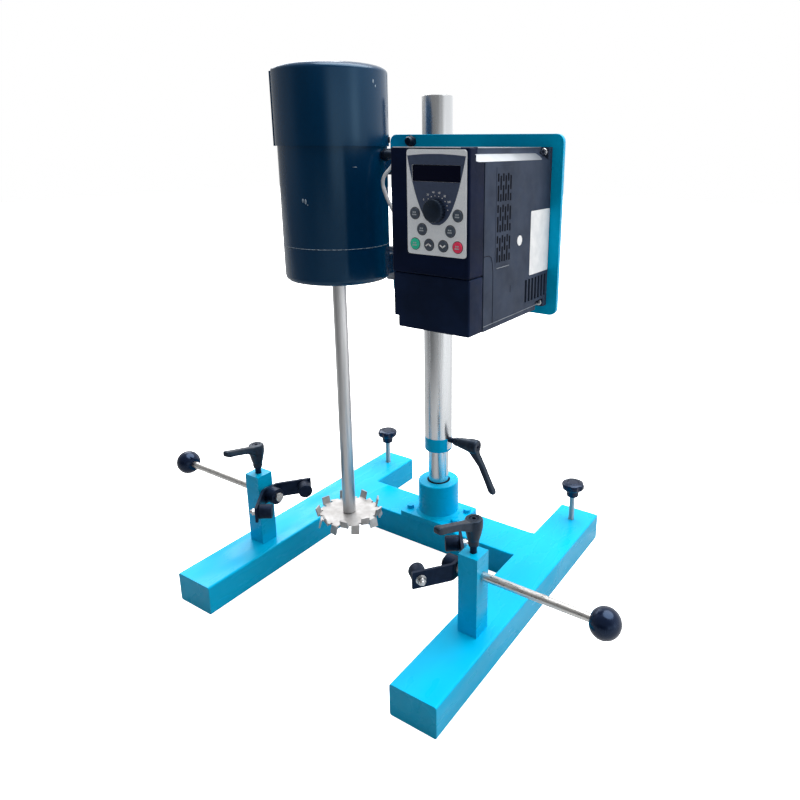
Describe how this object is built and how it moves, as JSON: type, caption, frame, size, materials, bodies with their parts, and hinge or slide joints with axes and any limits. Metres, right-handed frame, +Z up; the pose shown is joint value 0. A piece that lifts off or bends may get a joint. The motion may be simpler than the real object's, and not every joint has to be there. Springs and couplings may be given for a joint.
{
  "type": "laboratory disperser",
  "caption": "Lab disperser: motor and speed drive on a plate that lifts and turns on a column, toothed disc on a long shaft, H-shaped floor frame with vessel clamps and levelling screws.",
  "frame": {"origin": "on the column's axis at the underside of the cross beam, level with the floor", "axes": "+Z up along the column, +X to the right and -Y to the front, towards the open ends of the rails"},
  "size_m": [0.6964, 0.4375, 0.6715],
  "materials": {
    "blue_paint": "gloss",
    "chrome_tube": "polished",
    "bright_steel": "satin",
    "zinc_steel": "zinc plated",
    "black_plastic": "satin, glass filled",
    "black_phenolic": "polished",
    "black_steel": "satin",
    "black_rubber": "matte",
    "navy_paint": "gloss",
    "bronze": "turned",
    "core_steel": "laminated steel",
    "drive_black": "fine texture",
    "drive_grey": "fine texture",
    "keypad_silver": "satin",
    "display_dark": "clear window over a dark display",
    "key_slate": "satin",
    "key_green": "satin",
    "key_red": "satin",
    "lead_sheath": "smooth",
    "black_nylon": "satin"
  },
  "bodies": {
    "base": {"left_rail": "blue_paint", "right_rail": "blue_paint", "cross_beam": "blue_paint", "column_socket": "blue_paint", "inner_column": "chrome_tube", "left_post": "blue_paint", "right_post": "blue_paint"},
    "lift": {"guide_bush": "bronze"},
    "head": {"outer_tube": "chrome_tube", "mounting_plate": "blue_paint", "tube_clamp": "blue_paint", "motor_body": "navy_paint", "end_bell": "navy_paint", "lower_bearing": "bright_steel", "upper_bearing": "bright_steel", "stator_core": "core_steel", "fan_cowl": "navy_paint", "supply_lead": "lead_sheath", "motor_gland": "black_nylon", "drive_gland": "black_nylon", "drive_housing": "drive_grey", "front_cover": "drive_black", "lower_cover": "drive_black", "keypad_panel": "keypad_silver", "display_window": "display_dark"},
    "rotor": {"motor_shaft": "bright_steel", "cooling_fan": "black_plastic", "dispersing_disc": "bright_steel", "disc_nut": "bright_steel"},
    "column_clamp_lever": {"column_lever": "black_plastic", "column_lever_stud": "black_steel"},
    "speed_dial": {"speed_knob": "black_plastic"},
    "left_clamp": {"left_clamp_rod": "bright_steel", "left_ball_knob": "black_phenolic"},
    "left_bracket": {"left_v_bracket": "black_steel", "left_front_bumper": "black_rubber", "left_rear_bumper": "black_rubber"},
    "left_lever": {"left_clamp_lever": "black_plastic", "left_clamp_lever_stud": "black_steel"},
    "left_pad": {"left_jack_pad": "black_rubber"},
    "left_jack": {"left_jack_screw": "zinc_steel", "left_star_knob": "black_plastic"},
    "right_clamp": {"right_clamp_rod": "bright_steel", "right_ball_knob": "black_phenolic"},
    "right_bracket": {"right_v_bracket": "black_steel", "right_front_bumper": "black_rubber", "right_rear_bumper": "black_rubber"},
    "right_lever": {"right_clamp_lever": "black_plastic", "right_clamp_lever_stud": "black_steel"},
    "right_pad": {"right_jack_pad": "black_rubber"},
    "right_jack": {"right_jack_screw": "zinc_steel", "right_star_knob": "black_plastic"},
    "run_button_cap": {"run_button": "key_green"},
    "up_button_cap": {"up_button": "key_slate"},
    "down_button_cap": {"down_button": "key_slate"},
    "stop_button_cap": {"stop_button": "key_red"},
    "menu_button_cap": {"menu_button": "key_slate"},
    "enter_button_cap": {"enter_button": "key_slate"},
    "shift_button_cap": {"shift_button": "key_slate"},
    "jog_button_cap": {"jog_button": "key_slate"}
  },
  "joints": [
    {"name": "head_lift", "type": "slide", "parent": "base", "child": "lift", "axis": [0, 0, 1], "range_m": [-0.028, 0.2]},
    {"name": "head_swivel", "type": "hinge", "parent": "lift", "child": "head", "pos_m": [0, 0, 0.18], "axis": [0, 0, 1], "range_deg": [-180, 180]},
    {"name": "column_lever_turn", "type": "hinge", "parent": "head", "child": "column_clamp_lever", "pos_m": [0.03, 0, 0.1685], "axis": [1, 0, 0], "range_deg": [-90, 90]},
    {"name": "shaft_spin", "type": "hinge", "parent": "head", "child": "rotor", "pos_m": [-0.0756, -0.116, 0.3], "axis": [0, 0, 1], "continuous": true},
    {"name": "speed_knob_turn", "type": "hinge", "parent": "head", "child": "speed_dial", "pos_m": [0.1428, -0.2138, 0.5205], "axis": [0, -1, 0], "range_deg": [-300, 0]},
    {"name": "left_clamp_slide", "type": "slide", "parent": "base", "child": "left_clamp", "axis": [1, 0, 0], "range_m": [0, 0.09]},
    {"name": "left_bracket_turn", "type": "hinge", "parent": "left_clamp", "child": "left_bracket", "pos_m": [-0.15, -0.1887, 0.116], "axis": [1, 0, 0], "range_deg": [-90, 90]},
    {"name": "left_lever_turn", "type": "hinge", "parent": "base", "child": "left_lever", "pos_m": [-0.1747, -0.1887, 0.16], "axis": [0, 0, 1], "range_deg": [-90, 90]},
    {"name": "left_jack_travel", "type": "slide", "parent": "base", "child": "left_pad", "axis": [0, 0, 1], "range_m": [-0.01, 0.02]},
    {"name": "left_jack_turn", "type": "hinge", "parent": "left_pad", "child": "left_jack", "pos_m": [-0.1747, 0.0985, 0.08], "axis": [0, 0, 1], "range_deg": [-2890, 5770]},
    {"name": "right_clamp_slide", "type": "slide", "parent": "base", "child": "right_clamp", "axis": [-1, 0, 0], "range_m": [0, 0.09]},
    {"name": "right_bracket_turn", "type": "hinge", "parent": "right_clamp", "child": "right_bracket", "pos_m": [0.15, -0.1887, 0.116], "axis": [1, 0, 0], "range_deg": [-90, 90]},
    {"name": "right_lever_turn", "type": "hinge", "parent": "base", "child": "right_lever", "pos_m": [0.1747, -0.1887, 0.16], "axis": [0, 0, 1], "range_deg": [-90, 90]},
    {"name": "right_jack_travel", "type": "slide", "parent": "base", "child": "right_pad", "axis": [0, 0, 1], "range_m": [-0.01, 0.02]},
    {"name": "right_jack_turn", "type": "hinge", "parent": "right_pad", "child": "right_jack", "pos_m": [0.1747, 0.0985, 0.08], "axis": [0, 0, 1], "range_deg": [-2890, 5770]},
    {"name": "run_button_press", "type": "slide", "parent": "head", "child": "run_button_cap", "axis": [0, 1, 0], "range_m": [0, 0.0008], "stiffness_N_per_m": 500, "springref_m": -0.0004},
    {"name": "up_button_press", "type": "slide", "parent": "head", "child": "up_button_cap", "axis": [0, 1, 0], "range_m": [0, 0.0008], "stiffness_N_per_m": 500, "springref_m": -0.0004},
    {"name": "down_button_press", "type": "slide", "parent": "head", "child": "down_button_cap", "axis": [0, 1, 0], "range_m": [0, 0.0008], "stiffness_N_per_m": 500, "springref_m": -0.0004},
    {"name": "stop_button_press", "type": "slide", "parent": "head", "child": "stop_button_cap", "axis": [0, 1, 0], "range_m": [0, 0.0008], "stiffness_N_per_m": 500, "springref_m": -0.0004},
    {"name": "menu_button_press", "type": "slide", "parent": "head", "child": "menu_button_cap", "axis": [0, 1, 0], "range_m": [0, 0.0008], "stiffness_N_per_m": 500, "springref_m": -0.0004},
    {"name": "enter_button_press", "type": "slide", "parent": "head", "child": "enter_button_cap", "axis": [0, 1, 0], "range_m": [0, 0.0008], "stiffness_N_per_m": 500, "springref_m": -0.0004},
    {"name": "shift_button_press", "type": "slide", "parent": "head", "child": "shift_button_cap", "axis": [0, 1, 0], "range_m": [0, 0.0008], "stiffness_N_per_m": 500, "springref_m": -0.0004},
    {"name": "jog_button_press", "type": "slide", "parent": "head", "child": "jog_button_cap", "axis": [0, 1, 0], "range_m": [0, 0.0008], "stiffness_N_per_m": 500, "springref_m": -0.0004}
  ],
  "couplings": [
    {"joint": "left_jack_turn", "follows": "left_jack_travel", "rad_per_m": 5026.5},
    {"joint": "right_jack_turn", "follows": "right_jack_travel", "rad_per_m": 5026.5}
  ]
}
